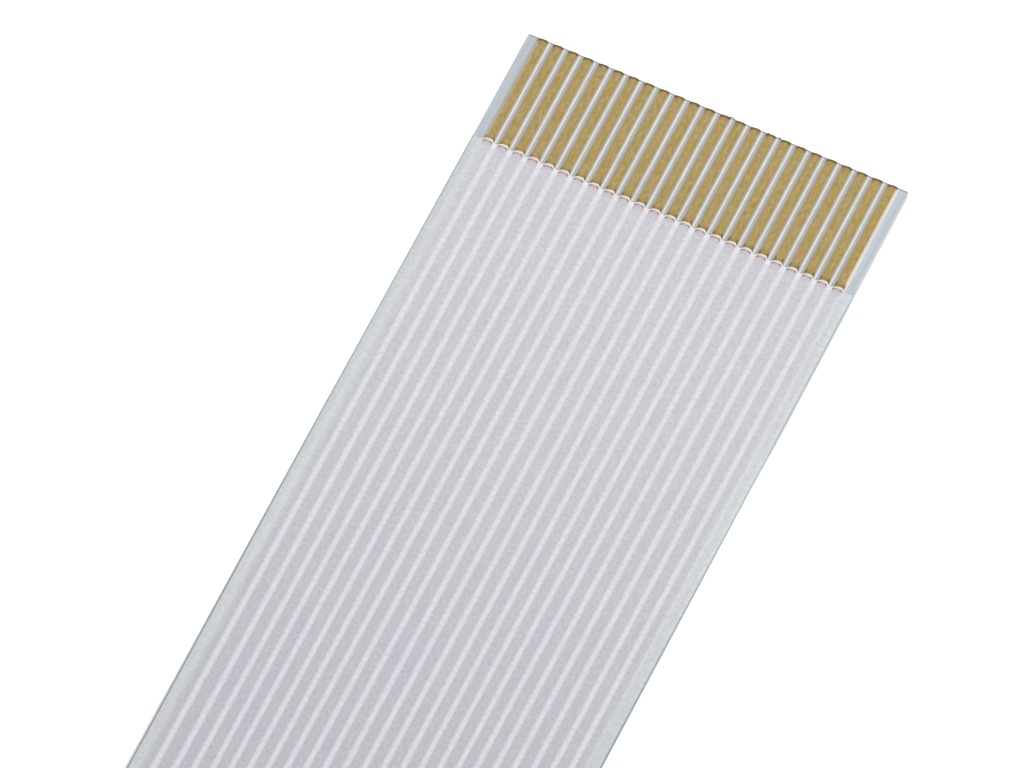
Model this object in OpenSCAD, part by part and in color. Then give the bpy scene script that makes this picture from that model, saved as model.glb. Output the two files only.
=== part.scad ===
// Flat flexible ribbon cable: flat copper conductors laminated between two
// insulation films, with gold contacts laid bare at both tips and a stiff
// support tape behind each of them.
//
// The cable lies flat. X runs across it, Y runs along it and Z points up from
// the surface that the support tapes rest on. The contacts face up.

/* [Cable] */
// Number of conductors
conductor_count = 24; // [4:1:40]
// Centre to centre distance of neighbouring conductors
pitch = 0.5; // [0.45:0.05:1.25]
// Centre of each outermost conductor to the side edge of the cable
edge_to_conductor = 0.5; // [0.4:0.05:1.5]
// Length of the cable from tip to tip
cable_length = 100; // [40:5:300]
// Radius of the four cut corners
corner_r = 0.06; // [0.02:0.01:0.3]

/* [Conductors] */
// Width of a conductor
conductor_w = 0.32; // [0.2:0.01:0.36]
// Thickness of a conductor at its crown
conductor_t = 0.05; // [0.03:0.005:0.1]
// Length of conductor laid bare at each tip
contact_length = 4; // [2.5:0.25:6]

/* [Insulation films] */
// Thickness of the lower film under a conductor
lower_film_t = 0.05; // [0.03:0.005:0.1]
// Thickness of the upper film over a conductor
upper_film_t = 0.05; // [0.03:0.005:0.1]
// Depth of the hollow that the bonded films form in each gap between conductors
gap_dip = 0.015; // [0.005:0.001:0.02]
// How far the adhesive of the upper film runs out over each bare conductor
film_tongue = 0.08; // [0.02:0.01:0.12]

/* [Support tapes] */
// Thickness of a support tape
tape_t = 0.2; // [0.1:0.01:0.3]
// Length of a support tape, from the tip inwards
tape_length = 12; // [6.5:0.5:15]

/* [Hidden] */
// Colours
FILM_COLOUR = "#dcdbe2";
TAPE_COLOUR = "#c3cdd8";
GOLD_COLOUR = "#b59a52";

// How finely curves are drawn
OUTLINE_STEPS = 5;    // per quarter of a conductor's section
GAP_STEPS = 4;        // across the hollow between two conductors
DRAPE_STEPS = 12;     // per pitch along the top of the upper film
TONGUE_STEPS = 6;     // along the end of one film tongue
CORNER_STEPS = 4;     // around a cut corner

// Squareness of a conductor's rolled section: 2 is an ellipse, more is squarer
ROLLED_EXPONENT = 3;

// Sizes that follow
cable_w = (conductor_count - 1) * pitch + 2 * edge_to_conductor;
tip_y = cable_length / 2;
film_end_y = tip_y - contact_length;
gap_w = pitch - conductor_w;

// Heights above the surface that the cable lies on
film_z = tape_t;
conductor_z = film_z + lower_film_t + conductor_t / 2;
gap_z = conductor_z - gap_dip;
crest_z = conductor_z + conductor_t / 2 + upper_film_t;
valley_z = gap_z + upper_film_t;

function two_digits(i) = i < 10 ? str("0", i) : str(i);
function conductor_name(i) = str("conductor_", two_digits(i));

// Place of conductor i across the cable, counted from 1 on the -X side
function conductor_x(i) = (i - (conductor_count + 1) / 2) * pitch;

// Half of a conductor's section, side +1 for its upper and -1 for its lower
// half, as points from its -X edge to its +X edge
function signed_power(v, e) = sign(v) * pow(abs(v), e);
function half_section(x, side) = [
    for (k = [0:2 * OUTLINE_STEPS])
        let (a = 180 - 90 * k / OUTLINE_STEPS)
        [
            x + conductor_w / 2 * signed_power(cos(a), 2 / ROLLED_EXPONENT),
            conductor_z + side * conductor_t / 2 * pow(abs(sin(a)), 2 / ROLLED_EXPONENT)
        ]
];

function reversed(list) = [for (k = [len(list) - 1:-1:0]) list[k]];

// The hollow between two conductors, from after one edge to before the next
function gap_points(x) = [
    for (k = [1:GAP_STEPS - 1])
        let (u = 2 * k / GAP_STEPS - 1)
        [x + gap_w / 2 * u, conductor_z - gap_dip * cos(90 * u)]
];

// The plane in which the two films are bonded, from the -X edge of the cable
// to its +X edge: around one half of every conductor and through every gap
function bond_line(side) = concat(
    [[-cable_w / 2, gap_z], [conductor_x(1) - pitch / 2, gap_z]],
    [
        for (i = [1:conductor_count])
            for (p = concat(
                half_section(conductor_x(i), side),
                i < conductor_count ? gap_points(conductor_x(i) + pitch / 2) : []
            )) p
    ],
    [[conductor_x(conductor_count) + pitch / 2, gap_z], [cable_w / 2, gap_z]]
);

// Height of the upper film's top: a crest over each conductor and a rounded
// valley in each gap. u is the distance from a conductor in half pitches.
function drape_z(u) = valley_z + (crest_z - valley_z) * (1 + cos(180 * u * u)) / 2;
function drape_line() = concat(
    [[-cable_w / 2, valley_z]],
    [
        for (i = [1:conductor_count])
            for (k = [0:DRAPE_STEPS - 1])
                let (u = 2 * k / DRAPE_STEPS - 1)
                [conductor_x(i) + pitch / 2 * u, drape_z(u)]
    ],
    [[conductor_x(conductor_count) + pitch / 2, valley_z], [cable_w / 2, valley_z]]
);

// One end of the upper film seen from above: straight over the gaps, with a
// round tongue over each conductor
function tongue_line() = concat(
    [[-cable_w / 2, film_end_y]],
    [
        for (i = [1:conductor_count])
            for (k = [0:TONGUE_STEPS])
                let (u = 2 * k / TONGUE_STEPS - 1)
                [conductor_x(i) + conductor_w / 2 * u, film_end_y + film_tongue * cos(90 * u)]
    ],
    [[cable_w / 2, film_end_y]]
);

// Draws a section in X and Z, along Y from one place to another
module run(y_from, y_to) {
    translate([0, y_to, 0])
        rotate([90, 0, 0])
            linear_extrude(y_to - y_from) children();
}

// A plate as wide as the cable, with both corners cut round at its +Y tip
function tip_corners(y, r) = concat(
    [for (k = [0:CORNER_STEPS])
        let (a = 90 * k / CORNER_STEPS)
        [cable_w / 2 - r + r * cos(a), y - r + r * sin(a)]],
    [for (k = [0:CORNER_STEPS])
        let (a = 90 + 90 * k / CORNER_STEPS)
        [-cable_w / 2 + r + r * cos(a), y - r + r * sin(a)]]
);

module conductor(i) {
    color(GOLD_COLOUR)
        run(-tip_y, tip_y)
            polygon(concat(
                half_section(conductor_x(i), -1),
                [for (k = [2 * OUTLINE_STEPS - 1:-1:1]) half_section(conductor_x(i), 1)[k]]
            ));
}

module lower_film() {
    color(FILM_COLOUR)
        intersection() {
            run(-tip_y, tip_y)
                polygon(concat(
                    [[cable_w / 2, film_z], [-cable_w / 2, film_z]],
                    bond_line(-1)
                ));
            translate([0, 0, film_z / 2])
                linear_extrude(crest_z)
                    polygon(concat(
                        tip_corners(tip_y, corner_r),
                        [for (p = tip_corners(tip_y, corner_r)) -p]
                    ));
        }
}

module upper_film() {
    color(FILM_COLOUR)
        intersection() {
            run(-tip_y, tip_y)
                polygon(concat(bond_line(1), reversed(drape_line())));
            linear_extrude(2 * crest_z)
                polygon(concat(
                    tongue_line(),
                    [for (p = tongue_line()) -p]
                ));
        }
}

// The tape's inner end is straight and its tip has the cable's cut corners
module support_tape() {
    color(TAPE_COLOUR)
        linear_extrude(tape_t)
            polygon(concat(
                tip_corners(tip_y, corner_r),
                [[-cable_w / 2, tip_y - tape_length], [cable_w / 2, tip_y - tape_length]]
            ));
}

module front_support_tape() {
    support_tape();
}

module rear_support_tape() {
    rotate([0, 0, 180]) support_tape();
}

upper_film();
lower_film();
front_support_tape();
rear_support_tape();
for (i = [1:conductor_count])
    conductor(i);
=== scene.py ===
"""Flat ribbon cable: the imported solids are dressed, the upper film and the flat
conductors get finer meshes, and the whole lies on a white table under soft light.

Sizes are in millimetres. A new piece is modelled in millimetres and brought to the
frame's metres as its last step. X runs across the cable, Y along it towards the end
that the photograph shows, and Z up from the table. The contacts face up.
"""

import logging
import math
from contextlib import contextmanager
from dataclasses import dataclass, field
from enum import Enum
from functools import partial
from typing import Any, Callable, Iterable, Iterator, NamedTuple, Sequence

import bmesh
import bpy
from mathutils import Matrix, Vector


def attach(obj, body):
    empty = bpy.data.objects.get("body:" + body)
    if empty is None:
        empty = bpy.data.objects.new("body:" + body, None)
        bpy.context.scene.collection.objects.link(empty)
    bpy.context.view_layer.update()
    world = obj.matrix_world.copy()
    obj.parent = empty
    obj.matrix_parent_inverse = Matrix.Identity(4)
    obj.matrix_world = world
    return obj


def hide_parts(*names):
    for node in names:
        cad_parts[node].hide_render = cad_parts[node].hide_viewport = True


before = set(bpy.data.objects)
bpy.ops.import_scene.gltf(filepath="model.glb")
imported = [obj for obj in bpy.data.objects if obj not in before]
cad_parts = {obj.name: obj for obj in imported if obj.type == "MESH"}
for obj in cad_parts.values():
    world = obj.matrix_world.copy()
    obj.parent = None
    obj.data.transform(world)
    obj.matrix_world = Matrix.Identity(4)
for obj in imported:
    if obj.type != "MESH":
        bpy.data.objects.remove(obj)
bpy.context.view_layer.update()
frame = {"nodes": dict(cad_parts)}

LOG = logging.getLogger("ribbon_cable")
METRES = 0.001
WELD = 1e-5
NEAR = 1e-4

Place = tuple[float, float, float]
Colour = tuple[float, float, float, float]
Stop = tuple[float, Colour]
Socket = bpy.types.NodeSocket
AddNode = Callable[..., Socket]

WHITE: Colour = (1.0, 1.0, 1.0, 1.0)
ORIGIN: Place = (0.0, 0.0, 0.0)

# Settings that many nodes share
SMOOTH = {"interpolation_type": "SMOOTHSTEP"}
OVER = {"data_type": "RGBA"}
TIMES = {"data_type": "RGBA", "blend_type": "MULTIPLY"}


class Slot(Enum):
    """Names for two material slots, the film's and the conductors'."""

    FILM = "film"
    CONDUCTOR = "conductor"


# Working with meshes


def clear_selection() -> None:
    """Deselects every object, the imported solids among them."""
    for other in bpy.context.selected_objects:
        other.select_set(False)


def only(piece: bpy.types.Object) -> None:
    """Selects one piece alone and makes it the active one.

    Args:
        piece: The object that the next operators act on.
    """
    clear_selection()
    piece.select_set(True)
    bpy.context.view_layer.objects.active = piece


@contextmanager
def editing(piece: bpy.types.Object) -> Iterator[None]:
    """Works on one piece in edit mode. All of it is selected at the start.

    Args:
        piece: The piece to edit.

    Yields:
        Nothing. The piece is in object mode again afterwards.
    """
    only(piece)
    bpy.ops.object.mode_set(mode="EDIT")
    bpy.ops.mesh.select_all(action="SELECT")
    yield
    bpy.ops.object.mode_set(mode="OBJECT")


def start_piece(name: str, operator: Callable[..., Any], **settings: Any) -> bpy.types.Object:
    """Adds a primitive as the start of a new piece.

    Args:
        name: The piece's name.
        operator: The operator that adds the primitive.
        settings: What the operator is called with.

    Returns:
        The new object, alone selected and active.
    """
    clear_selection()
    operator(**settings)
    piece = bpy.context.active_object
    piece.name = piece.data.name = name
    only(piece)
    bpy.ops.object.transform_apply(location=True, rotation=True, scale=True)
    return piece


def pick(piece: bpy.types.Object, chosen: Iterable[int]) -> None:
    """Selects vertices of the piece in edit mode, and what lies wholly between them.

    Args:
        piece: The piece, in edit mode.
        chosen: The numbers of the vertices.
    """
    bpy.ops.mesh.select_mode(type="VERT")
    bpy.ops.mesh.select_all(action="DESELECT")
    mesh = bmesh.from_edit_mesh(piece.data)
    mesh.verts.ensure_lookup_table()
    for number in chosen:
        mesh.verts[number].select_set(True)
    mesh.select_flush(True)
    bmesh.update_edit_mesh(piece.data)


def pick_where(piece: bpy.types.Object, test: Callable[[Vector], bool]) -> None:
    """Selects the vertices of the piece, in edit mode, whose place in millimetres passes a test."""
    mesh = bmesh.from_edit_mesh(piece.data)
    pick(piece, [v.index for v in mesh.verts if test(v.co)])


def move(value: Place) -> None:
    """Moves what is selected in edit mode by a vector."""
    bpy.ops.transform.translate(value=value)


def resize(value: Place, centre: Place) -> None:
    """Resizes what is selected in edit mode along each axis, about a centre."""
    bpy.ops.transform.resize(value=value, center_override=centre)


def extrude(value: Place) -> None:
    """Extrudes what is selected in edit mode by a vector."""
    bpy.ops.mesh.extrude_region_move(TRANSFORM_OT_translate={"value": value})


def apply_modifier(piece: bpy.types.Object, kind: str, **settings: Any) -> None:
    """Adds a modifier to the piece and applies it at once.

    Args:
        piece: The piece to change.
        kind: The modifier's type.
        settings: The modifier's settings by name.
    """
    only(piece)
    modifier = piece.modifiers.new(kind.title(), kind)
    for name, value in settings.items():
        setattr(modifier, name, value)
    bpy.ops.object.modifier_apply(modifier=modifier.name)


def mirror_to_rear(piece: bpy.types.Object) -> None:
    """Mirrors the modelled half of the cable to the other end, and welds both together."""
    half = {"use_axis": (False, True, False), "use_clip": True, "merge_threshold": WELD}
    apply_modifier(piece, "MIRROR", **half)


def to_metres(piece: bpy.types.Object) -> None:
    """Brings a piece that was modelled in millimetres to the frame's metres."""
    with editing(piece):
        resize((METRES, METRES, METRES), ORIGIN)


def smooth(piece: bpy.types.Object, angle: float) -> None:
    """Shades a piece smooth, apart from edges that are sharper than an angle in degrees."""
    only(piece)
    bpy.ops.object.shade_smooth_by_angle(angle=math.radians(angle))


def report(piece: bpy.types.Object) -> None:
    """Reports a finished piece and the number of its faces."""
    LOG.info("%s: %d faces", piece.name, len(piece.data.polygons))


# Working with materials


class Fade(NamedTuple):
    """A smooth change of a share: start up to the value low, and end from the value high on.

    Low may be the larger of the two. The share then changes as the value falls.
    """

    low: float
    high: float
    start: float = 0.0
    end: float = 1.0


def shade(hex_value: str) -> Colour:
    """Turns an sRGB hex colour to the linear colour that a shader takes.

    Args:
        hex_value: The colour, such as "#c8c8cf".

    Returns:
        Linear red, green and blue, and an alpha of 1.
    """
    parts = [int(hex_value[i : i + 2], 16) / 255 for i in (1, 3, 5)]
    red, green, blue = (
        part / 12.92 if part <= 0.04045 else ((part + 0.055) / 1.055) ** 2.4 for part in parts
    )
    return (red, green, blue, 1.0)


def stops_of(places: Sequence[float], tones: Sequence[str]) -> list[Stop]:
    """The stops of a colour ramp, from their places and their tones as hex values."""
    return [(place, shade(tone)) for place, tone in zip(places, tones)]


def add_node(
    tree: bpy.types.NodeTree,
    kind: str,
    links: Sequence[Any] | dict[str, Any] = (),
    **settings: Any,
) -> Socket | None:
    """Adds a node with its settings, and fills its inputs.

    Args:
        tree: The node tree.
        kind: The node's type, without the words that all shader nodes start with.
        links: A value, or the output that feeds it, for each input in use from the first
            on, or by the inputs' names.
        settings: Properties of the node by name. A ramp's stops are given as "stops".

    Returns:
        The first output in use. The node that ends a material has none.
    """
    node = tree.nodes.new("ShaderNode" + kind)
    for name, value in settings.items():
        if name == "stops":
            ramp = node.color_ramp
            ramp.interpolation = "EASE"
            while len(ramp.elements) < len(value):
                ramp.elements.new(0.5)
            for element, (place, colour) in zip(ramp.elements, value):
                element.position = place
                element.color = colour
        else:
            setattr(node, name, value)
    if isinstance(links, dict):
        filled = [(node.inputs[name], value) for name, value in links.items()]
    else:
        filled = list(zip([s for s in node.inputs if s.enabled], links))
    for socket, value in filled:
        if isinstance(value, Socket):
            tree.links.new(value, socket)
        else:
            socket.default_value = value
    return next((s for s in node.outputs if s.enabled), None)


def new_material(name: str) -> tuple[bpy.types.Material, AddNode]:
    """Makes an empty material.

    Args:
        name: What the real material is.

    Returns:
        The material, and add_node with the material's tree already given.
    """
    material = bpy.data.materials.new(name)
    material.use_nodes = True
    material.node_tree.nodes.clear()
    return material, partial(add_node, material.node_tree)


def coordinates(add: AddNode) -> tuple[Socket, Socket, Socket, Socket]:
    """Reads a piece's own coordinates.

    Args:
        add: add_node for the material.

    Returns:
        The place in metres, and then X, Y and Z in millimetres.
    """
    place = add("TexCoord").node.outputs["Object"]
    scaled = add("VectorMath", (place, 1 / METRES), operation="SCALE")
    x, y, z = add("SeparateXYZ", (scaled,)).node.outputs
    return place, x, y, z


def lay_over(
    add: AddNode, colour: Socket | Colour, layers: Iterable[tuple[Socket, Fade, str]]
) -> Socket:
    """Lays tones over a colour, one after the other.

    Args:
        add: add_node for the material.
        colour: The colour under them.
        layers: For each tone, what its share is read from, how the share fades, and the
            tone as a hex value.

    Returns:
        The colour with all the tones over it.
    """
    for value, fade, tone in layers:
        share = add("MapRange", (value, *fade), **SMOOTH)
        colour = add("Mix", (share, colour, shade(tone)), **OVER)
    return colour


def give_finish(piece: bpy.types.Object, material: bpy.types.Material) -> None:
    """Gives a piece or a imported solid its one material.

    Args:
        piece: The piece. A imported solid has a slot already, and a new piece has none.
        material: The material.
    """
    if piece.material_slots:
        for slot in piece.material_slots:
            slot.material = material
    else:
        piece.data.materials.append(material)


@dataclass(frozen=True)
class Grain:
    """Fine grain in a surface, or lines where it is drawn out along the cable.

    A grain is 1 / per_mm millimetres wide and 1 / along times as long as that. Its relief is
    depth millimetres high, shown at the given strength.
    """

    per_mm: float
    along: float = 1.0
    detail: float = 2.0
    strength: float = 0.15
    depth: float = 0.002

    def build(self, add: AddNode, place: Socket) -> tuple[Socket, Socket]:
        """Adds the grain to a material.

        Args:
            add: add_node for the material.
            place: The place in metres.

        Returns:
            The grain's height, mostly between 0.3 and 0.7, and the relief that it gives.
        """
        drawn = add("Mapping", {"Vector": place, "Scale": (1.0, self.along, 1.0)})
        inputs = {"Vector": drawn, "Scale": self.per_mm / METRES, "Detail": self.detail}
        height = add("TexNoise", inputs)
        inputs = {"Strength": self.strength, "Distance": self.depth * METRES, "Height": height}
        return height, add("Bump", inputs)


@dataclass(frozen=True)
class Clouds:
    """Soft clouds of a cool and a warm tint, as thin layers split the light a little.

    The clouds' size is in millimetres across the cable, and they are 1 / along times as long.
    Their tints are factors for a linear colour, so they may be over 1.
    """

    size: float
    cool: Colour
    warm: Colour
    along: float = 0.4
    spread: float = 0.14

    def tint(self, add: AddNode, place: Socket, colour: Socket) -> Socket:
        """Tints a colour.

        Args:
            add: add_node for the material.
            place: The place in metres.
            colour: The colour to tint.

        Returns:
            The tinted colour.
        """
        drawn = add("Mapping", {"Vector": place, "Scale": (1.0, self.along, 1.0)})
        cloud = add("TexNoise", {"Vector": drawn, "Scale": 1 / (self.size * METRES)})
        stops = [(0.5 - self.spread, self.cool), (0.5, WHITE), (0.5 + self.spread, self.warm)]
        return add("Mix", (1.0, colour, add("ValToRGB", (cloud,), stops=stops)), **TIMES)


# The cable's layout


@dataclass(frozen=True)
class Layout:
    """Sizes that all parts of the cable share, as in the part's source.

    The film's tongues and the cut tips also have a shape of their own here: the tongues lean
    to one side, and the tips are bowed and a little askew.
    """

    conductor_count: int = 24
    pitch: float = 0.5
    width: float = 12.5
    length: float = 100.0
    film_end: float = 46.0
    tongue: float = 0.08
    tongue_tilt: float = 0.12
    tongue_overlap: float = 0.012
    conductor_width: float = 0.32
    conductor_middle: float = 0.275
    tip_bow: float = 0.03
    tip_bow_power: float = 4.0
    tip_tilt: float = 0.06
    crest: float = 0.35
    valley: float = 0.31
    film_thickness: float = 0.05

    def conductor_x(self, number: int) -> float:
        """Place of a conductor across the cable, counted from 1 on the -X side."""
        return (number - (self.conductor_count + 1) / 2) * self.pitch

    def drape(self, share: float) -> float:
        """Height of the upper film at a distance from a conductor, in half pitches."""
        fall = (1 + math.cos(math.pi * share * share)) / 2
        return self.valley + (self.crest - self.valley) * fall

    def tongue_reach(self, across: float) -> float:
        """How far the film's end runs out over a conductor, at a place across it."""
        share = min(1.0, abs(across) / (self.conductor_width / 2 + self.tongue_overlap))
        return self.tongue * (1 - share**4) + self.tongue_tilt * across * (1 - share**8)


LAYOUT = Layout()


# Finishes


@dataclass(frozen=True)
class LanePattern:
    """Places across the cable as the materials see them.

    A lane is one pitch wide. It begins and ends over the middle of a conductor, and the gap
    lies in its middle.
    """

    layout: Layout = LAYOUT

    def across(self, add: AddNode, x: Socket) -> Socket:
        """Works out the share of the lane.

        Args:
            add: add_node for the material.
            x: The place across the cable, in millimetres.

        Returns:
            The share, 0 over the middle of a conductor and 0.5 in the middle of a gap.
        """
        lanes = add("Math", (x, self.layout.pitch), operation="DIVIDE")
        lanes = add("Math", (lanes, self.layout.width / 2 / self.layout.pitch), operation="ADD")
        return add("Math", (lanes,), operation="FRACT")

    def bands(self, wire: str, gap: str, shares: tuple[float, float]) -> list[Stop]:
        """Lays out a ramp with one tone over the conductors and another over the gaps.

        Args:
            wire: The tone over the conductors.
            gap: The tone over the gaps.
            shares: Where the first tone ends in the lane and where the second begins.

        Returns:
            The stops, for the share of the lane.
        """
        end, start = shares
        places = (0.0, end, start, 1 - start, 1 - end, 1.0)
        return stops_of(places, (wire, wire, gap, gap, wire, wire))


@dataclass(frozen=True)
class LaminatedPolyester:
    """Clear white polyester film, hot laminated over flat wire.

    Over the wire it is a cool grey, because the metal under it takes the light that the
    white table gives back through the gaps. Its end is sealed by a cream line of adhesive,
    painted brighter as a highlight on its lip, with a painted shadow in the hollow behind it.
    Away from the tip the bands are painted darker: painted shade, and the film no longer
    backed by the support tape. The slit edges are painted in shade, darker past the tape,
    with a painted highlight along their outer line there.
    """

    over_wire: str = "#ccccd2"
    over_gap: str = "#e3e2e8"
    # Away from the tip the bands are painted darker: painted shade, and the film no longer backed by
    # the support tape
    free_wire_shaded: str = "#b9b9c1"
    free_gap_shaded: str = "#dadae2"
    margin: str = "#cacfd2"
    margin_inside: str = "#d3d7da"
    # Painted highlight: the right margin lighter towards its edge
    margin_right_highlight: str = "#d6dbde"
    # Painted shade: the margins darker away from the tip
    margin_far_shaded: str = "#c9cbd0"
    last_line: str = "#dcdbe1"
    # The slit edges are painted in shade, darker past the tape, with a painted highlight along their
    # outer line there
    slit_edge: str = "#b2b8bb"
    free_slit_shade: str = "#8f979a"
    free_rim_highlight: str = "#e4e8ea"
    # The cream adhesive line is painted brighter as a highlight on the lit lip, and the hollow
    # behind it holds a painted shadow
    adhesive: str = "#f3e5d3"
    groove_shadow: str = "#786c74"
    blush: str = "#c9bdc2"
    star: str = "#eaeaee"
    roughness: float = 0.36
    ior: float = 1.57

    # Along the cable, from its middle
    freed: Fade = Fade(46.0, 16.0)
    unbacked: Fade = Fade(42.0, 28.0)
    left_stray: Fade = Fade(36.0, 20.0, 0.0, 0.06)
    far_margin: Fade = Fade(36.0, 22.0)
    far_slope: float = 0.4

    # Across the cable, from its middle line. The line is the last gap's, at the right margin.
    margin_start: Fade = Fade(5.69, 5.95)
    margin_inner: Fade = Fade(6.12, 5.95)
    right_highlight_start: Fade = Fade(6.0, 6.18)
    line_place: float = 5.9
    line_stray: float = -0.09
    line_width: Fade = Fade(0.05, 0.02)
    slit_widening: float = 0.04
    right_slit: Fade = Fade(6.228, 6.248)
    left_slit: Fade = Fade(6.18, 6.215)
    right_rim: Fade = Fade(6.226, 6.248, 0.0, 0.45)
    left_rim: Fade = Fade(6.235, 6.265, 0.0, 0.95)
    sealed_width: Fade = Fade(5.96, 5.92)

    # Within a lane: shares where the wire's tone ends and the gap's begins, then distances
    # from the gap's middle as shares
    bands: tuple[float, float] = (0.25, 0.43)
    wire_part: Fade = Fade(0.14, 0.22)
    gap_part: Fade = Fade(0.2, 0.12)
    groove_part: Fade = Fade(0.42, 0.28, 0.4, 1.0)

    # Behind the film's end
    blush_reach: Fade = Fade(0.36, 0.12, 0.0, 0.85)
    star_reach: Fade = Fade(0.26, 0.1)
    groove_place: float = 0.108
    groove_width: Fade = Fade(0.045, 0.01, 0.0, 0.85)
    seal_width: Fade = Fade(0.4, 0.8, 0.09, 0.07)
    seal_edge: Fade = Fade(0.0, -0.025, 0.0, 0.95)

    # The film's own grain is a hundredth of a millimetre wide, too fine to show at 34 pixels
    # to the millimetre. It is drawn a ninth of a millimetre wide, as coarse as it needs to show.
    grain: Grain = Grain(9.0, detail=3.0)
    speck: Fade = Fade(0.3, 0.7, 0.935, 1.055)

    # The adhesive's coat is uneven over a little under a millimetre
    clouds: Clouds = Clouds(0.8, (0.98, 0.993, 1.0, 1.0), (1.0, 0.975, 0.99, 1.0))

    def lanes(
        self, add: AddNode, pattern: LanePattern, x: Socket, along: Socket, across: Socket
    ) -> Socket:
        """Paints the bands over the wires, the pale lines over the gaps and the margins.

        Args:
            add: add_node for the material.
            pattern: Where the conductors lie.
            x: The place across the cable.
            along: The distance along the cable, from its middle.
            across: The share of the lane.

        Returns:
            The colour of the film away from its ends and its slit edges.
        """
        # Painted shade: the bands darken away from the tip, where the film also leaves the tape's
        # backing
        free = add("MapRange", (along, *self.freed), **SMOOTH)
        tones = ((self.over_wire, self.over_gap), (self.free_wire_shaded, self.free_gap_shaded))
        bands = [pattern.bands(wire, gap, self.bands) for wire, gap in tones]
        backed_body, free_body = (add("ValToRGB", (across,), stops=stops) for stops in bands)
        body = add("Mix", (free, backed_body, free_body), **OVER)
        side = add("Math", (x,), operation="ABSOLUTE")
        slope = add("Math", (x, self.far_slope), operation="MULTIPLY")
        sloped = add("Math", (along, slope), operation="SUBTRACT")
        # Over the margin: the right side's painted highlight and the far margins' painted shade
        layers = (
            (side, self.margin_inner, self.margin_inside),
            (x, self.right_highlight_start, self.margin_right_highlight),
            (sloped, self.far_margin, self.margin_far_shaded),
        )
        margin = lay_over(add, shade(self.margin), layers)
        outside = add("MapRange", (side, *self.margin_start), **SMOOTH)
        body = add("Mix", (outside, body, margin), **OVER)
        stray = add("Math", (free, self.line_stray), operation="MULTIPLY")
        line = add("Math", (stray, self.line_place), operation="ADD")
        beside = add("Math", (x, line), operation="SUBTRACT")
        beside = add("Math", (beside,), operation="ABSOLUTE")
        shown = add("MapRange", (beside, *self.line_width), **SMOOTH)
        backed = add("Math", (1.0, free), operation="SUBTRACT")
        shown = add("Math", (shown, backed), operation="MULTIPLY")
        return add("Mix", (shown, body, shade(self.last_line)), **OVER)

    def slit_edges(self, add: AddNode, body: Socket, x: Socket, along: Socket) -> Socket:
        """Paints both slit edges in painted shade, darker past the tape, with a painted highlight
        along their outer line there. The left one strays in where the cable sags to the table.

        Args:
            add: add_node for the material.
            body: The film's colour.
            x: The place across the cable.
            along: The distance along the cable, from its middle.

        Returns:
            The colour with the edges laid over it.
        """
        # Painted shade on the slit edges, and painted highlights along their outer lines past the
        # tape
        unbacked = add("MapRange", (along, *self.unbacked), **SMOOTH)
        widening = add("Math", (unbacked, self.slit_widening), operation="MULTIPLY")
        from_right = add("Math", (x, widening), operation="ADD")
        right = add("MapRange", (from_right, *self.right_slit), **SMOOTH)
        stray = add("MapRange", (along, *self.left_stray), **SMOOTH)
        from_left = add("Math", (stray, x), operation="SUBTRACT")
        left = add("MapRange", (from_left, *self.left_slit), **SMOOTH)
        right_rim = add("MapRange", (x, *self.right_rim), **SMOOTH)
        left_rim = add("MapRange", (from_left, *self.left_rim), **SMOOTH)
        rims = add("Math", (left_rim, right_rim), operation="MAXIMUM")
        rims = add("Math", (unbacked, rims), operation="MULTIPLY")
        edge = add("Mix", (unbacked, shade(self.slit_edge), shade(self.free_slit_shade)), **OVER)
        edge = add("Mix", (rims, edge, shade(self.free_rim_highlight)), **OVER)
        slits = add("Math", (left, right), operation="MAXIMUM")
        return add("Mix", (slits, body, edge), **OVER)

    def sealed_end(
        self, add: AddNode, body: Socket, x: Socket, across: Socket, inset: Socket
    ) -> Socket:
        """Paints the cream line of adhesive with its lit lip as a painted highlight, the painted
        shadow in the hollow behind it and the blush that fades.

        Args:
            add: add_node for the material.
            body: The film's colour.
            x: The place across the cable.
            across: The share of the lane.
            inset: The distance from the film's end.

        Returns:
            The colour with the sealed end laid over it.
        """
        aside = add("Math", (across, 0.5), operation="SUBTRACT")
        aside = add("Math", (aside,), operation="ABSOLUTE")
        side = add("Math", (x,), operation="ABSOLUTE")
        sealed = add("MapRange", (side, *self.sealed_width), **SMOOTH)
        over_wire = add("MapRange", (aside, *self.wire_part), **SMOOTH)
        over_wire = add("Math", (over_wire, sealed), operation="MULTIPLY")
        in_gap = add("MapRange", (aside, *self.gap_part), **SMOOTH)
        in_gap = add("Math", (in_gap, sealed), operation="MULTIPLY")
        for part, reach, tone in (
            (over_wire, self.blush_reach, self.blush),
            (in_gap, self.star_reach, self.star),
        ):
            near = add("MapRange", (inset, *reach), **SMOOTH)
            share = add("Math", (part, near), operation="MULTIPLY")
            body = add("Mix", (share, body, shade(tone)), **OVER)
        # Painted shadow in the hollow behind the lip
        behind = add("Math", (inset, self.groove_place), operation="SUBTRACT")
        behind = add("Math", (behind,), operation="ABSOLUTE")
        groove_shadow = add("MapRange", (behind, *self.groove_width), **SMOOTH)
        for share in (add("MapRange", (aside, *self.groove_part), **SMOOTH), over_wire):
            groove_shadow = add("Math", (groove_shadow, share), operation="MULTIPLY")
        body = add("Mix", (groove_shadow, body, shade(self.groove_shadow)), **OVER)
        # The cream adhesive line, painted bright as a highlight on the lit lip
        width = add("MapRange", (across, *self.seal_width), **SMOOTH)
        past = add("Math", (inset, width), operation="SUBTRACT")
        seal = add("MapRange", (past, *self.seal_edge), **SMOOTH)
        seal = add("Math", (seal, over_wire), operation="MULTIPLY")
        return add("Mix", (seal, body, shade(self.adhesive)), **OVER)

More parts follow.
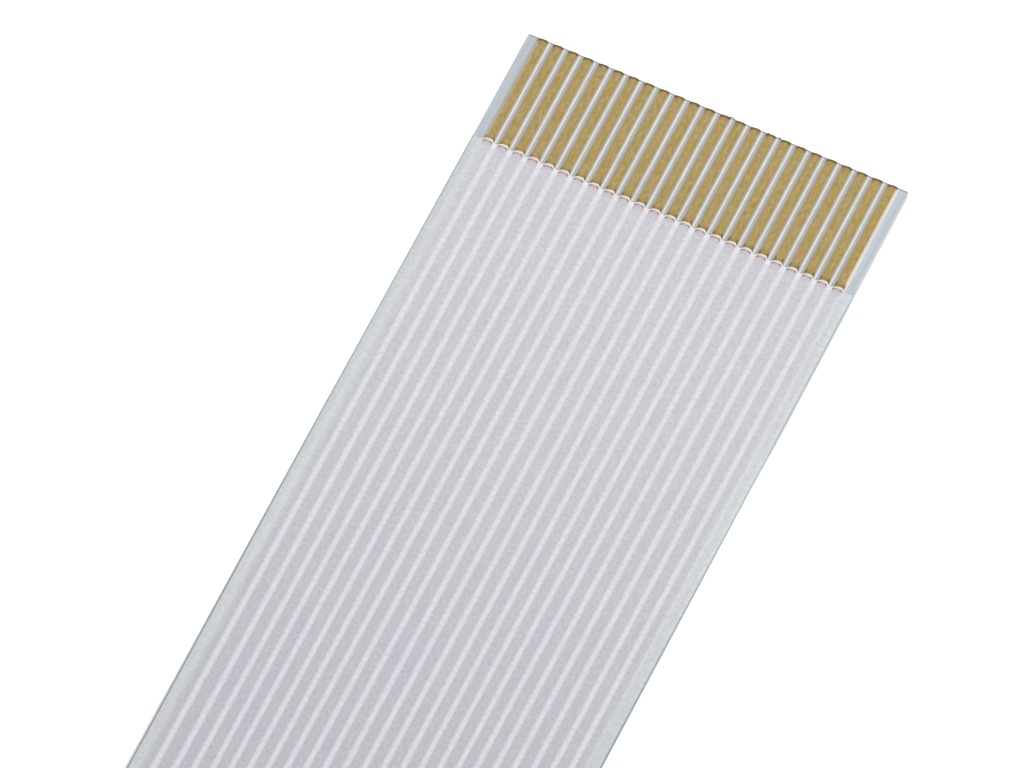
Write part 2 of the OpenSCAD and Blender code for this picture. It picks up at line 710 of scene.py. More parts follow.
    def material(self, pattern: LanePattern) -> bpy.types.Material:
        """Builds the material. It reads the place that each point of the film was laid at.

        Args:
            pattern: Where the conductors lie.

        Returns:
            The finished material.
        """
        material, add = new_material("laminated polyester film")
        laid = add("Attribute", attribute_name="laid").node.outputs["Vector"]
        x, y, inset = add("SeparateXYZ", (laid,)).node.outputs
        along = add("Math", (y,), operation="ABSOLUTE")
        across = pattern.across(add, x)
        body = self.lanes(add, pattern, x, along, across)
        body = self.slit_edges(add, body, x, along)
        body = self.sealed_end(add, body, x, across, inset)
        place = add("TexCoord").node.outputs["Object"]
        height, relief = self.grain.build(add, place)
        speck = add("MapRange", (height, *self.speck), **SMOOTH)
        body = add("Mix", (1.0, body, speck), **TIMES)
        inputs = {
            "Base Color": self.clouds.tint(add, place, body),
            "Roughness": self.roughness,
            "IOR": self.ior,
            "Normal": relief,
        }
        add("OutputMaterial", (add("BsdfPrincipled", inputs),))
        return material


@dataclass(frozen=True)
class BackingPolyester:
    """The lower film: white polyester with clear adhesive, bare between the contacts.

    The adhesive climbs to the edges of every wire. The side of each gap that faces the
    light is painted as a white line of highlight, and the other side as a cool lavender shade.
    """

    flank: str = "#c2bca6"
    lit_side: str = "#e5e4e1"
    dim_side: str = "#b2b4b9"
    foot: str = "#aeaca0"
    margin: str = "#bac1c8"
    # Painted highlight: the right margin lighter, and its outer edge lighter still
    right_lit_margin: str = "#c1cad1"
    rim_highlight: str = "#c4cbcf"
    peach: str = "#ede8df"
    under_wire: str = "#c8c7ce"
    under_gap: str = "#dcdce1"
    # The slit edge's side is painted in shade: darker under the upper film, lighter past the tape
    slit_edge: str = "#bcc3c7"
    covered_edge: str = "#a2a9ae"
    free_edge: str = "#d0d5d8"
    tip_edge: str = "#8f8f8c"
    burr: str = "#454a47"
    roughness: float = 0.34
    ior: float = 1.57

    # Within a lane: where the gap's tones lie, and on the underside the shares where the
    # wire's tone ends and the gap's begins
    gap_places: tuple[float, ...] = (0.0, 0.34, 0.42, 0.455, 0.53, 0.59, 0.68)
    bands: tuple[float, float] = (0.26, 0.42)

    # Across the cable, from its middle line
    last_gap: Fade = Fade(5.8, 5.85)
    bright_end: Fade = Fade(6.15, 6.1)
    left_to_right: Fade = Fade(-6.0, 6.0)
    right_highlight_start: Fade = Fade(6.17, 6.2)
    top_margin: Fade = Fade(5.94, 5.99)
    under_margin: Fade = Fade(5.84, 5.96)
    slit_start: Fade = Fade(6.216, 6.238)

    # Along the cable, from its middle, and up from the underside
    covered: Fade = Fade(46.3, 45.5)
    freed: Fade = Fade(38.0, 26.0)
    tip_start: Fade = Fade(49.945, 49.97)
    burr_start: Fade = Fade(50.003, 50.008)
    upwards: Fade = Fade(0.205, 0.25)

    # Lines in the adhesive, a fourteenth of a millimetre wide, as its roller leaves them
    grain: Grain = Grain(14.0, along=0.06)
    streak: Fade = Fade(0.3, 0.7, 0.95, 1.04)

    # The adhesive in the gaps shows faint colours in spots under a tenth of a millimetre
    clouds: Clouds = Clouds(0.08, (0.96, 0.97, 0.87, 1.0), (1.035, 1.025, 1.13, 1.0))

    def top(self, add: AddNode, place: Socket, x: Socket, side: Socket, across: Socket) -> Socket:
        """Paints the upper side, which is bare between the contacts.

        Args:
            add: add_node for the material.
            place: The place in metres.
            x: The place across the cable.
            side: The distance from the cable's middle line.
            across: The share of the lane.

        Returns:
            The colour of the upper side.
        """
        # The lit side of each gap is a painted highlight and the dim side painted shade
        flank, lit, dim = self.flank, self.lit_side, self.dim_side
        stops = stops_of(self.gap_places, (flank, flank, lit, lit, dim, dim, self.foot))
        gaps = self.clouds.tint(add, place, add("ValToRGB", (across,), stops=stops))
        gaps = lay_over(add, gaps, ((x, self.last_gap, self.peach),))
        # Painted highlight on the right margin and its outer edge
        inner = add("MapRange", (x, *self.bright_end), **SMOOTH)
        rightness = add("MapRange", (x, *self.left_to_right), **SMOOTH)
        facing = add("Math", (inner, rightness), operation="MULTIPLY")
        strip = add("Mix", (facing, shade(self.margin), shade(self.right_lit_margin)), **OVER)
        strip = lay_over(add, strip, ((x, self.right_highlight_start, self.rim_highlight),))
        outside = add("MapRange", (side, *self.top_margin), **SMOOTH)
        return add("Mix", (outside, gaps, strip), **OVER)

    def material(self, pattern: LanePattern) -> bpy.types.Material:
        """Builds the material.

        Args:
            pattern: Where the conductors lie.

        Returns:
            The finished material.
        """
        material, add = new_material("polyester backing film with adhesive")
        place, x, y, z = coordinates(add)
        side = add("Math", (x,), operation="ABSOLUTE")
        along = add("Math", (y,), operation="ABSOLUTE")
        across = pattern.across(add, x)
        bands = pattern.bands(self.under_wire, self.under_gap, self.bands)
        under = add("ValToRGB", (across,), stops=bands)
        under = lay_over(add, under, ((side, self.under_margin, self.margin),))
        upper = add("MapRange", (z, *self.upwards), **SMOOTH)
        colour = add("Mix", (upper, under, self.top(add, place, x, side, across)), **OVER)
        # Painted shade on the slit edge's side
        layers = ((along, self.covered, self.covered_edge), (along, self.freed, self.free_edge))
        edge = lay_over(add, shade(self.slit_edge), layers)
        slit = add("MapRange", (side, *self.slit_start), **SMOOTH)
        colour = add("Mix", (slit, colour, edge), **OVER)
        layers = ((along, self.tip_start, self.tip_edge), (along, self.burr_start, self.burr))
        colour = lay_over(add, colour, layers)
        height, relief = self.grain.build(add, place)
        streak = add("MapRange", (height, *self.streak), **SMOOTH)
        inputs = {
            "Base Color": add("Mix", (1.0, colour, streak), **TIMES),
            "Roughness": self.roughness,
            "IOR": self.ior,
            "Normal": relief,
        }
        add("OutputMaterial", (add("BsdfPrincipled", inputs),))
        return material


@dataclass(frozen=True)
class GoldPlatedCopper:
    """Rolled copper wire with a thin gold plate, rubbed lengthwise by the rolling.

    The streaks run along the wire and go from olive gold to orange tan. The wire's sides
    catch the milky adhesive, and one side gleams with a painted highlight. The cut end shows
    darker copper with the plate worn behind it. The wire's edges are painted a little darker,
    as shade where they round off, and where the film ends the wire's corners beside it are
    painted in shadow.
    """

    gold: str = "#af985f"
    olive: str = "#a39266"
    tan: str = "#bb9e59"
    cut_end: str = "#66563a"
    # Painted shadow in the wire's corners where the film ends
    corner_shadow: str = "#6b5836"
    milky: str = "#aeaa99"
    gleam: str = "#c0baa3"
    peach: str = "#efe2cb"
    first_edge: str = "#bab9b0"

    # Across the cable, from its middle line
    first_side: Fade = Fade(-5.79, -5.9, 0.0, 0.8)
    last_side: Fade = Fade(5.85, 5.89, 0.0, 0.8)

    # Across the wire, from its middle line
    # The wire's edges are painted darker, as shade where they round off
    rolled: Fade = Fade(0.05, 0.11, 1.0, 0.88)
    gleam_side: Fade = Fade(0.1, 0.18, 0.0, 0.9)
    milky_side: Fade = Fade(-0.07, -0.17, 0.0, 0.85)
    corners: Fade = Fade(0.06, 0.13, 0.3, 1.0)
    worn_side: Fade = Fade(0.0, -0.08, 0.06, 0.24)
    ragged: float = -0.18

    # Along the cable, from its middle, and back from the cut
    shadow_reach: Fade = Fade(46.26, 46.12)
    shadow_share: float = 0.74
    worn_reach: Fade = Fade(0.26, 0.1)
    cut_reach: Fade = Fade(0.095, 0.05, 0.0, 0.83)

    # Rolling marks are a few thousandths of a millimetre wide. They are drawn 0.04 mm wide,
    # a pixel and a half, as coarse as they need to show.
    grain: Grain = Grain(24.0, along=0.24, detail=4.0, strength=0.3)
    tone_places: tuple[float, ...] = (0.4, 0.5, 0.6)
    roughness: Fade = Fade(0.3, 0.7, 0.3, 0.44)

    # The plate's thickness varies in spots under a tenth of a millimetre
    clouds: Clouds = Clouds(0.08, (0.93, 0.945, 0.68, 1.0), (1.075, 1.06, 1.45, 1.0))

    def behind_cut(
        self, add: AddNode, layout: Layout, off: Socket, aside: Socket, along: Socket
    ) -> Socket:
        """Measures how far a place lies behind the bowed and slightly askew cut.

        Args:
            add: add_node for the material.
            layout: The cable's shared sizes.
            off: The place across the wire.
            aside: The distance from the wire's middle line.
            along: The distance along the cable, from its middle.

        Returns:
            The distance in millimetres.
        """
        share = add("Math", (aside, layout.conductor_width / 2), operation="DIVIDE")
        bow = add("Math", (share, layout.tip_bow_power), operation="POWER")
        bow = add("Math", (bow, layout.tip_bow), operation="MULTIPLY")
        cut = add("Math", (layout.length / 2, bow), operation="SUBTRACT")
        behind = add("Math", (cut, along), operation="SUBTRACT")
        tilt = add("Math", (off, layout.tip_tilt), operation="MULTIPLY")
        return add("Math", (behind, tilt), operation="ADD")

    def material(self, pattern: LanePattern, layout: Layout) -> bpy.types.Material:
        """Builds the material.

        Args:
            pattern: Where the conductors lie.
            layout: The cable's shared sizes.

        Returns:
            The finished material.
        """
        material, add = new_material("gold plated rolled copper")
        place, x, y, _ = coordinates(add)
        along = add("Math", (y,), operation="ABSOLUTE")
        shifted = add("Math", (x, layout.pitch / 2), operation="ADD")
        off = add("Math", (pattern.across(add, shifted), 0.5), operation="SUBTRACT")
        off = add("Math", (off, layout.pitch), operation="MULTIPLY")
        aside = add("Math", (off,), operation="ABSOLUTE")
        height, relief = self.grain.build(add, place)
        stops = stops_of(self.tone_places, (self.olive, self.gold, self.tan))
        colour = self.clouds.tint(add, place, add("ValToRGB", (height,), stops=stops))
        # Painted shade at the wire's edges
        rolled = add("MapRange", (aside, *self.rolled), **SMOOTH)
        colour = add("Mix", (1.0, colour, rolled), **TIMES)
        layers = (
            (off, self.gleam_side, self.gleam),
            (off, self.milky_side, self.milky),
            (x, self.first_side, self.first_edge),
            (x, self.last_side, self.peach),
        )
        colour = lay_over(add, colour, layers)
        # Painted shadow in the corners beside the film's end
        corner = add("MapRange", (aside, *self.corners), **SMOOTH)
        by_film = add("MapRange", (along, *self.shadow_reach), **SMOOTH)
        shadowed = add("Math", (corner, by_film), operation="MULTIPLY")
        shadowed = add("Math", (shadowed, self.shadow_share), operation="MULTIPLY")
        colour = add("Mix", (shadowed, colour, shade(self.corner_shadow)), **OVER)
        behind = self.behind_cut(add, layout, off, aside, along)
        worn = add("MapRange", (off, *self.worn_side), **SMOOTH)
        near = add("MapRange", (behind, *self.worn_reach), **SMOOTH)
        worn = add("Math", (worn, near), operation="MULTIPLY")
        colour = add("Mix", (worn, colour, shade(self.cut_end)), **OVER)
        ragged = add("Math", (aside, self.ragged), operation="MULTIPLY")
        behind = add("Math", (behind, ragged), operation="ADD")
        inputs = {
            "Base Color": lay_over(add, colour, ((behind, self.cut_reach, self.cut_end),)),
            "Metallic": 1.0,
            "Roughness": add("MapRange", (height, *self.roughness), **SMOOTH),
            "Normal": relief,
        }
        add("OutputMaterial", (add("BsdfPrincipled", inputs),))
        return material


@dataclass(frozen=True)
class StiffenerTape:
    """Polyester support tape, drawn and slit.

    It is pale blue grey with faint draw lines. Its slit edge is painted in shade, darker under
    the upper film, and the painted shade fades to almost white towards the tape's inner end.
    """

    face: str = "#b9c4d0"
    pale: str = "#c6cfd9"
    # The slit edge is painted in shade, darker under the upper film and fading towards the inner end
    slit_edge: str = "#b9c0c5"
    covered_edge: str = "#a8afb4"
    unshaded_edge: str = "#e6eaec"
    roughness: float = 0.4
    ior: float = 1.57

    # Across the cable from its middle line, and then along it from its middle
    slit_start: Fade = Fade(6.235, 6.247)
    covered: Fade = Fade(46.3, 45.5)
    unshaded_reach: Fade = Fade(41.0, 38.2)
    inner_end: Fade = Fade(38.03, 38.01)

    # The sheet's draw lines are about a fifth of a millimetre wide
    grain: Grain = Grain(5.0, along=0.05, detail=4.0, strength=0.25, depth=0.003)
    tone_places: tuple[float, ...] = (0.3, 0.7)

    def material(self) -> bpy.types.Material:
        """Builds the material.

        Returns:
            The finished material.
        """
        material, add = new_material("polyester stiffener tape")
        place, x, y, _ = coordinates(add)
        side = add("Math", (x,), operation="ABSOLUTE")
        along = add("Math", (y,), operation="ABSOLUTE")
        height, relief = self.grain.build(add, place)
        stops = stops_of(self.tone_places, (self.face, self.pale))
        colour = add("ValToRGB", (height,), stops=stops)
        # Painted shade on the slit edge
        layers = ((along, self.covered, self.covered_edge), (along, self.unshaded_reach, self.unshaded_edge))
        edge = lay_over(add, shade(self.slit_edge), layers)
        slit = add("MapRange", (side, *self.slit_start), **SMOOTH)
        inner_end = add("MapRange", (along, *self.inner_end), **SMOOTH)
        cut = add("Math", (slit, inner_end), operation="MAXIMUM")
        inputs = {
            "Base Color": add("Mix", (cut, colour, edge), **OVER),
            "Roughness": self.roughness,
            "IOR": self.ior,
            "Normal": relief,
        }
        add("OutputMaterial", (add("BsdfPrincipled", inputs),))
        return material


# The parts of the cable


@dataclass
class UpperFilm:
    """The insulation film that is draped over the conductors.

    One lane is modelled over half the cable, mirrored to its other end and repeated over
    all conductors. Its ends run out in a round tongue over every bare conductor.

    The rows of points are given by their distance from the film's end, and the lip by how
    far it drops at such distances. The margins are drawn out in steps sideways and down.
    Away from the ends the gaps stray sideways: together by drift, less drift_fall for each
    gap, in a sway from gap to gap with a ripple along the cable, and some on their own.
    """

    layout: Layout = LAYOUT
    steps: int = 16
    row_insets: tuple[float, ...] = (
        46.0, 43.5, 41.0, 38.5, 36.0, 33.5, 31.0, 28.5, 26.0, 24.0, 22.0, 20.0, 18.0, 16.0,
        14.0, 12.0, 10.0, 8.0, 6.0, 4.5, 3.0, 2.0, 1.2, 0.7, 0.4, 0.25, 0.17, 0.13, 0.105, 0.08,
        0.05, 0.025, 0.01, 0.0,
    )  # fmt: skip
    lip: dict[float, float] = field(
        default_factory=lambda: {
            0.0: 0.03, 0.01: 0.015, 0.025: 0.005, 0.08: 0.003, 0.105: 0.006, 0.13: 0.003,
        }
    )  # fmt: skip
    tongue_fade: float = 0.7
    margin_steps: tuple[tuple[float, float], ...] = ((0.21, 0.0), (0.03, 0.0), (0.01, 0.006))
    drift: float = 0.07
    drift_fall: float = 0.004
    drift_length: float = 24.0
    own_shift: dict[int, float] = field(default_factory=lambda: {1: -0.075, 23: -0.035})
    wander: float = 0.03
    sway_rate: float = 0.57
    sway_middle: float = 2.7
    ripple: float = 0.25
    ripple_rate: float = 2.4
    ripple_length: float = 4.7
    cut_skew: float = 0.33
    skew_reach: float = 3.0
    smooth_angle: float = 38.0

    def lane(self) -> bpy.types.Object:
        """Models one lane of the film's top, from the middle of the cable to its end.

        Returns:
            The lane, one pitch wide, with the distance from the film's end on each point.
        """
        rows = len(self.row_insets) - 1
        piece = start_piece(
            "upper_film_laminate",
            bpy.ops.mesh.primitive_grid_add,
            x_subdivisions=self.steps,
            y_subdivisions=rows,
            size=1.0,
        )
        columns = [round((v.co.x + 0.5) * self.steps) for v in piece.data.vertices]
        ranks = [round((v.co.y + 0.5) * rows) for v in piece.data.vertices]
        spots = list(zip(columns, ranks))
        inset = piece.data.attributes.new("inset", "FLOAT", "POINT")
        inset.data.foreach_set("value", [self.row_insets[rank] for rank in ranks])
        with editing(piece):
            for rank, distance in enumerate(self.row_insets):
                pick(piece, [i for i, r in enumerate(ranks) if r == rank])
                move((0.0, self.layout.film_end - distance - (rank / rows - 0.5), 0.0))
            for column in range(self.steps + 1):
                share = 2 * column / self.steps - 1
                x = share * self.layout.pitch / 2
                pick(piece, [i for i, c in enumerate(columns) if c == column])
                move((x - share / 2, 0.0, self.layout.drape(share)))
                self.pull_tongue(piece, column, x, spots)
        return piece

    def pull_tongue(
        self, piece: bpy.types.Object, column: int, x: float, spots: list[tuple[int, int]]
    ) -> None:
        """Pulls one column of the lane out to the tongue's outline, less so away from the end.

        Args:
            piece: The lane in edit mode.
            column: The column's number.
            x: The column's place across the conductor.
            spots: The column and the row of every vertex.
        """
        reach = self.layout.tongue_reach(x)
        for rank, distance in enumerate(self.row_insets):
            pull = reach * max(0.0, 1 - distance / self.tongue_fade)
            if pull > 0:
                pick(piece, [i for i, spot in enumerate(spots) if spot == (column, rank)])
                move((0.0, pull, 0.0))

    def build(self) -> bpy.types.Object:
        """Models the whole film.

        Returns:
            The film as a closed piece, in metres.
        """
        piece = self.lane()
        mirror_to_rear(piece)
        with editing(piece):
            move((self.layout.conductor_x(1), 0.0, 0.0))
        apply_modifier(
            piece,
            "ARRAY",
            count=self.layout.conductor_count,
            use_relative_offset=False,
            use_constant_offset=True,
            constant_offset_displace=(self.layout.pitch, 0.0, 0.0),
            use_merge_vertices=True,
            merge_threshold=WELD,
        )
        outer = self.layout.conductor_count * self.layout.pitch / 2
        for side in (-1, 1):
            with editing(piece):
                pick_where(piece, lambda p, s=side: s * p.x > outer - NEAR)
                for outwards, down in self.margin_steps:
                    extrude((side * outwards, 0.0, -down))
        with editing(piece):
            bpy.ops.mesh.normals_make_consistent(inside=False)
        top = len(piece.data.vertices)
        apply_modifier(
            piece, "SOLIDIFY", thickness=self.layout.film_thickness, offset=-1.0, use_rim=True
        )
        self.round_lips(piece, top)
        self.lay(piece)
        to_metres(piece)
        smooth(piece, self.smooth_angle)
        return piece

    def round_lips(self, piece: bpy.types.Object, top: int) -> None:
        """Rounds the upper edge at both ends of the film, where heat has melted it.

        Args:
            piece: The film with its thickness.
            top: The number of vertices that its upper side has. They come first.
        """
        insets = [a.value for a in piece.data.attributes["inset"].data]
        with editing(piece):
            for distance, drop in self.lip.items():
                pick(piece, [i for i in range(top) if abs(insets[i] - distance) < NEAR])
                move((0.0, 0.0, -drop))

    def gap_shift(self, gap: int, y: float) -> float:
        """How far a gap between two conductors has strayed sideways at a place along the cable.

        Args:
            gap: The gap's number, 1 between the first two conductors.
            y: The place along the cable.

        Returns:
            The shift in X.
        """
        if not 0 < gap < self.layout.conductor_count:
            return 0.0
        inside = max(0.0, min(1.0, (self.layout.film_end - abs(y)) / self.drift_length))
        growth = inside**2 * (3 - 2 * inside)
        ripple = self.ripple * math.sin(self.ripple_rate * gap + y / self.ripple_length)
        sway = math.cos(self.sway_rate * (gap - self.sway_middle)) + ripple
        steady = self.drift - self.drift_fall * gap + self.own_shift.get(gap, 0.0)
        return growth * (steady + self.wander * sway)

    def lay(self, piece: bpy.types.Object) -> None:
        """Keeps each point's place in the straight pattern for the material, then lets the
        lanes stray a little, as the wires do between the laminating rollers, and skews the cut.

        Args:
            piece: The film in millimetres.
        """
        mesh = piece.data
        insets = [a.value for a in mesh.attributes["inset"].data]
        laid = mesh.attributes.new("laid", "FLOAT_VECTOR", "POINT")
        points = list(zip(mesh.vertices, insets))
        straight = [value for v, inset in points for value in (v.co.x, v.co.y, inset)]
        laid.data.foreach_set("vector", straight)
        slope = math.tan(math.radians(self.cut_skew))
        for vertex, inset in points:
            near_cut = max(0.0, 1 - inset / self.skew_reach)
            vertex.co.y -= math.copysign(slope * near_cut, vertex.co.y) * vertex.co.x
            lane = (vertex.co.x + self.layout.width / 2) / self.layout.pitch - 0.5
            gap = math.floor(lane)
            near, far = (self.gap_shift(gap + step, vertex.co.y) for step in (0, 1))
            vertex.co.x += near + (far - near) * (lane - gap)
        mesh.update()

    def dress(
        self, film: bpy.types.Object, pattern: LanePattern, nodes: dict[str, bpy.types.Object]
    ) -> None:
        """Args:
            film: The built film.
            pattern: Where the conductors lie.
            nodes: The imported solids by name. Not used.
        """
        give_finish(film, LaminatedPolyester().material(pattern))
        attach(film, "root")
        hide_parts("upper_film")
        report(film)


@dataclass
class FlatConductors:
    """The 24 flat wires. One is modelled and copied, each copy with a mesh of its own.

    The wire's section is a squared ellipse, and its rings of points are given by their
    distance from the cut. The cutter narrows the tip by tip_squeeze and leaves a shallow
    facet on it.
    """

    layout: Layout = LAYOUT
    points: int = 32
    thickness: float = 0.05
    squareness: float = 3.0
    ring_insets: tuple[float, ...] = (
        0.0, 0.01, 0.03, 0.16, 0.6, 2.0, 3.8, 4.3, 8.0, 20.0, 50.0,
    )  # fmt: skip
    tip_squeeze: Place = (0.97, 1.0, 0.82)
    facet_width: float = 0.006
    facet_depth: float = 0.003
    bowed_reach: float = 0.05
    smooth_angle: float = 50.0

    def one(self) -> bpy.types.Object:
        """Models one wire at the middle of the cable.

        Returns:
            The wire in millimetres, closed at both of its cut ends.
        """
        tip = self.layout.length / 2
        piece = start_piece(
            "flat_conductor_01",
            bpy.ops.mesh.primitive_circle_add,
            vertices=self.points,
            radius=1.0,
            fill_type="NOTHING",
            rotation=(math.radians(90), 0.0, 0.0),
        )
        starts = [v.co.copy() for v in piece.data.vertices]
        half_width, half_thickness = self.layout.conductor_width / 2, self.thickness / 2
        power = 2 / self.squareness
        with editing(piece):
            for number, start in enumerate(starts):
                x = math.copysign(abs(start.x) ** power, start.x) * half_width
                z = math.copysign(abs(start.z) ** power, start.z) * half_thickness
                pick(piece, [number])
                move((x - start.x, tip - start.y, z + self.layout.conductor_middle - start.z))
            bpy.ops.mesh.select_all(action="SELECT")
            for near, far in zip(self.ring_insets, self.ring_insets[1:]):
                extrude((0.0, near - far, 0.0))
            self.cut_tip(piece, tip)
        mirror_to_rear(piece)
        with editing(piece):
            bpy.ops.mesh.remove_doubles(threshold=WELD)
            bpy.ops.mesh.normals_make_consistent(inside=False)
        return piece

    def cut_tip(self, piece: bpy.types.Object, tip: float) -> None:
        """Closes the tip and gives it the bowed, slightly rolled edge that the cutter leaves.

        Args:
            piece: The wire in edit mode.
            tip: The tip's place along the cable.
        """
        pick_where(piece, lambda p: p.y > tip - NEAR)
        resize(self.tip_squeeze, (0.0, tip, self.layout.conductor_middle))
        bpy.ops.mesh.edge_face_add()
        bpy.ops.mesh.inset(thickness=self.facet_width, depth=-self.facet_depth)
        mesh = bmesh.from_edit_mesh(piece.data)
        half = self.layout.conductor_width / 2
        bowed = [(v.index, v.co.x) for v in mesh.verts if v.co.y > tip - self.bowed_reach]
        for number, x in bowed:
            pick(piece, [number])
            bow = self.layout.tip_bow * (x / half) ** self.layout.tip_bow_power
            move((0.0, self.layout.tip_tilt * x - bow, 0.0))

    def build(self) -> list[bpy.types.Object]:
        """Models all wires.

        Returns:
            The wires in order across the cable, in metres.
        """
        first = self.one()
        wires = [first]
        for _ in range(1, self.layout.conductor_count):
            only(first)
            bpy.ops.object.duplicate(linked=False)
            wires.append(bpy.context.active_object)
        for number, wire in enumerate(wires, 1):
            wire.name = wire.data.name = f"flat_conductor_{number:02d}"
            with editing(wire):
                move((self.layout.conductor_x(number), 0.0, 0.0))
            to_metres(wire)
            smooth(wire, self.smooth_angle)
        return wires

    def dress(self, wires: list[bpy.types.Object], plate: bpy.types.Material) -> None:
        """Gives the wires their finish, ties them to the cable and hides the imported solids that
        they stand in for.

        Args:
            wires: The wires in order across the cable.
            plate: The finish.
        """
        for number, wire in enumerate(wires, 1):
            give_finish(wire, plate)
            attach(wire, "root")
            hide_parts(f"conductor_{number:02d}")
            report(wire)


@dataclass
class CutBurrs:
    """A thread of film and two copper slivers that the cutter left standing at the tip.

    The thread is an arch that bulges out of the tip, with its feet in the lower film. Each
    sliver is given by its place across the cable and how far it stands out. Its width and
    the round of its edges are shares of that.
    """

    layout: Layout = LAYOUT
    thread_middle: float = 0.455
    thread_half: float = 0.085
    thread_radius: float = 0.02
    thread_sides: int = 8
    thread_steps: int = 12
    bulge: float = 0.042
    feet_inwards: float = 0.006
    feet_down: float = 0.02
    slivers: tuple[tuple[float, float], ...] = ((1.65, 0.036), (2.02, 0.036))
    sliver_width: float = 1.6
    sliver_root: float = 0.012
    sliver_height: float = 0.02
    sliver_point: Place = (0.45, 1.0, 0.5)
    sliver_round: float = 0.12
    smooth_angle: float = 40.0

    def thread(self) -> bpy.types.Object:
        """Models the thread as a low arch whose feet stand in the lower film.

        Returns:
            The thread, in metres.
        """
        tip, middle = self.layout.length / 2, self.layout.conductor_middle
        piece = start_piece(
            "film_thread",
            bpy.ops.mesh.primitive_circle_add,
            vertices=self.thread_sides,
            radius=self.thread_radius,
            fill_type="NGON",
            rotation=(math.radians(90), 0.0, 0.0),
        )
        half_turn = {"angle": math.pi, "center": ORIGIN, "axis": (0.0, 0.0, 1.0)}
        with editing(piece):
            move((self.thread_half, 0.0, 0.0))
            bpy.ops.mesh.spin(steps=self.thread_steps, **half_turn)
            bpy.ops.mesh.select_all(action="SELECT")
            # The spin goes round by -Y, so the arch is turned over while it is flattened
            resize((1.0, -self.bulge / self.thread_half, 1.0), ORIGIN)
            move((self.thread_middle, tip - self.feet_inwards, middle - self.feet_down))
            bpy.ops.mesh.normals_make_consistent(inside=False)
        to_metres(piece)
        smooth(piece, self.smooth_angle)
        return piece

    def sliver(self, number: int, x: float, size: float) -> bpy.types.Object:
        """Models one sliver as a wedge that narrows outwards.

        Args:
            number: Its number, counted from 1.
            x: Its place across the cable.
            size: How far it stands out.

        Returns:
            The sliver, in metres.
        """
        tip, length = self.layout.length / 2, size + self.sliver_root
        piece = start_piece(f"copper_sliver_{number}", bpy.ops.mesh.primitive_cube_add, size=1.0)
        with editing(piece):
            resize((self.sliver_width * size, length, self.sliver_height), ORIGIN)
            pick_where(piece, lambda p: p.y > 0)
            bpy.ops.transform.resize(value=self.sliver_point)
            bpy.ops.mesh.select_all(action="SELECT")
            bpy.ops.mesh.bevel(offset=self.sliver_round * size, segments=2, affect="EDGES")
            move((x, tip - self.sliver_root + length / 2, self.layout.conductor_middle))
        to_metres(piece)
        smooth(piece, self.smooth_angle)
        return piece

    def build(self) -> tuple[list[bpy.types.Object], bpy.types.Object]:
        """Models the slivers and the thread.

        Returns:
            The slivers, and then the thread.
        """
        slivers = [self.sliver(n, x, size) for n, (x, size) in enumerate(self.slivers, 1)]
        return slivers, self.thread()

    def dress(
        self,
        slivers: list[bpy.types.Object],
        thread: bpy.types.Object,
        plate: bpy.types.Material,
        backing: bpy.types.Material,
    ) -> None:
        """Gives the burrs the finishes of what they were torn from.

        Args:
            slivers: The slivers of copper.
            thread: The thread of film.
            plate: The conductors' finish.
            backing: The lower film's finish.
        """
        for sliver in slivers:
            give_finish(sliver, plate)
            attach(sliver, "root")
            report(sliver)
        give_finish(thread, backing)
        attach(thread, "root")
        report(thread)


@dataclass
class RibbonCable:
    """The whole cable, dressed and bound to the frame."""

    layout: Layout = LAYOUT
    film: UpperFilm = field(default_factory=UpperFilm)
    conductors: FlatConductors = field(default_factory=FlatConductors)
    burrs: CutBurrs = field(default_factory=CutBurrs)
    pattern: LanePattern = field(default_factory=LanePattern)

    def build(self, nodes: dict[str, bpy.types.Object]) -> None:
        """Builds and dresses the new pieces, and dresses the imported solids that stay.

        Args:
            nodes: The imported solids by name.
        """
        self.film.dress(self.film.build(), self.pattern, nodes)
        plate = GoldPlatedCopper().material(self.pattern, self.layout)
        self.conductors.dress(self.conductors.build(), plate)
        backing = BackingPolyester().material(self.pattern)
        self.burrs.dress(*self.burrs.build(), plate, backing)
        tape = StiffenerTape().material()
        give_finish(nodes["lower_film"], backing)
        report(nodes["lower_film"])
        for name in ("front_support_tape", "rear_support_tape"):
            give_finish(nodes[name], tape)
            report(nodes[name])


# The studio


@dataclass(frozen=True)
class Viewpoint:
    """Where the photograph was taken from. Angles in degrees, lengths in millimetres."""

    target: Place = (-1.56657, 38.69447, 0.3)
    azimuth: float = -20.54921
    elevation: float = 59.38654
    roll: float = 5.01244
    distance: float = 485.6433
    lens: float = 577.2284
    sensor: float = 36.0
    nearest: float = 20.0
    farthest: float = 20000.0

    def build(self) -> None:
        """Makes the camera and makes it the scene's own."""
        turn, rise = math.radians(self.azimuth), math.radians(self.elevation)
        level = math.cos(rise)
        look = Vector((math.sin(turn) * level, math.cos(turn) * level, -math.sin(rise)))
        data = bpy.data.cameras.new("camera")
        data.sensor_width = self.sensor
        data.lens = self.lens
        data.clip_start, data.clip_end = self.nearest * METRES, self.farthest * METRES
        camera = bpy.data.objects.new("camera", data)
        bpy.context.scene.collection.objects.link(camera)
        eye = Matrix.Translation((Vector(self.target) - look * self.distance) * METRES)
        aim = look.to_track_quat("-Z", "Y").to_matrix().to_4x4()
        camera.matrix_world = eye @ aim @ Matrix.Rotation(math.radians(self.roll), 4, "Z")
        bpy.context.scene.camera = camera


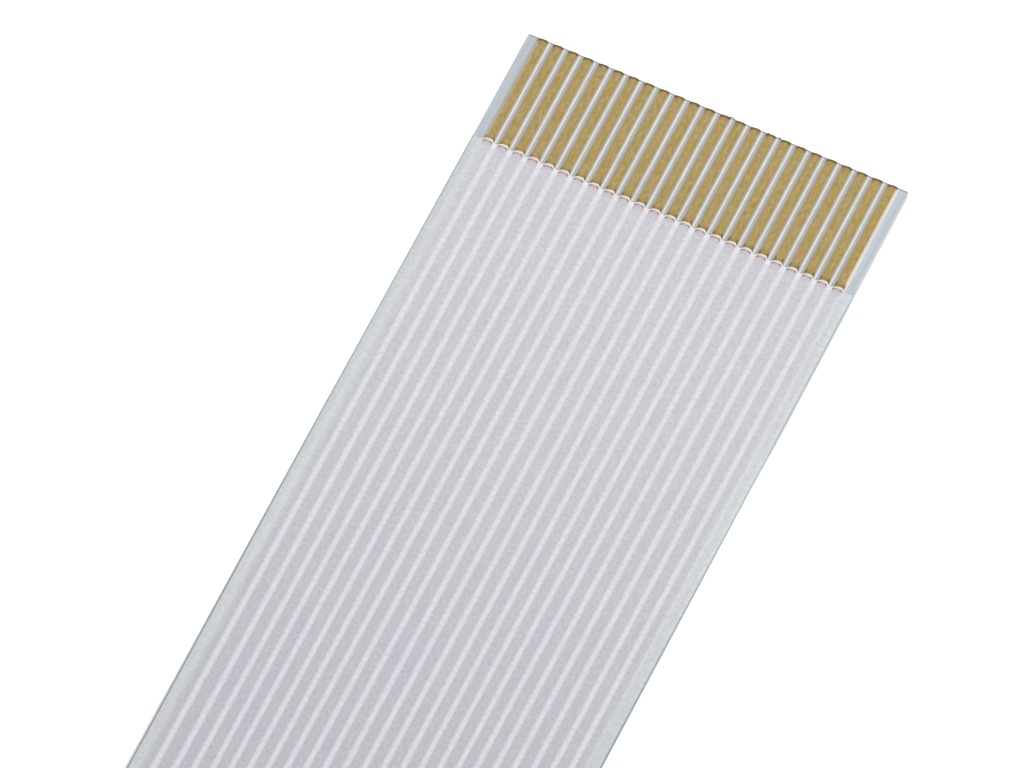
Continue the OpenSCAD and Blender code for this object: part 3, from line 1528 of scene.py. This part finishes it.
@dataclass(frozen=True)
class SoftLight:
    """A round studio light, aimed at a point of the cable. Lengths in millimetres."""

    name: str
    place: Place
    aim: Place
    size: float
    power: float

    def build(self) -> None:
        """Makes the light, which the camera itself doesn't see."""
        data = bpy.data.lights.new(self.name, "AREA")
        data.shape = "DISK"
        data.size = self.size * METRES
        data.energy = self.power
        light = bpy.data.objects.new(self.name, data)
        bpy.context.scene.collection.objects.link(light)
        place, aim = Vector(self.place) * METRES, Vector(self.aim) * METRES
        turn = (aim - place).to_track_quat("-Z", "Y").to_matrix().to_4x4()
        light.matrix_world = Matrix.Translation(place) @ turn
        light.visible_camera = False


@dataclass
class Studio:
    """White light table, a soft light beyond the tip and an even white surround.

    The table's size is in metres. It glows a little and has no shine.
    """

    table_size: float = 4.0
    table: str = "#f7f7f7"
    table_roughness: float = 0.9
    glow: float = 0.45
    surround: float = 0.96
    view: Viewpoint = field(default_factory=Viewpoint)
    lights: tuple[SoftLight, ...] = (
        SoftLight(
            name="soft light beyond the tip",
            place=(-12.0, 165.0, 85.0),
            aim=(0.0, 45.0, 0.0),
            size=60.0,
            power=0.015,
        ),
    )

    def build(self) -> None:
        """Makes the table, the lights, the surround and the camera."""
        table = start_piece("table", bpy.ops.mesh.primitive_plane_add, size=self.table_size)
        material, add = new_material("white light table")
        inputs = {
            "Base Color": shade(self.table),
            "Roughness": self.table_roughness,
            "Specular IOR Level": 0.0,
            "Emission Color": WHITE,
            "Emission Strength": self.glow,
        }
        add("OutputMaterial", (add("BsdfPrincipled", inputs),))
        give_finish(table, material)
        for light in self.lights:
            light.build()
        world = bpy.data.worlds.new("white surround")
        world.use_nodes = True
        surface = world.node_tree.nodes["Background"]
        surface.inputs["Color"].default_value = WHITE
        surface.inputs["Strength"].default_value = self.surround
        bpy.context.scene.world = world
        bpy.context.scene.view_settings.view_transform = "Standard"
        self.view.build()


def main() -> None:
    """Builds the studio and the cable, and reports each piece."""
    logging.basicConfig(level=logging.INFO, format="%(name)s: %(message)s")
    Studio().build()
    RibbonCable().build(frame["nodes"])
    clear_selection()
    bpy.context.view_layer.update()


if __name__ == "__main__":
    main()
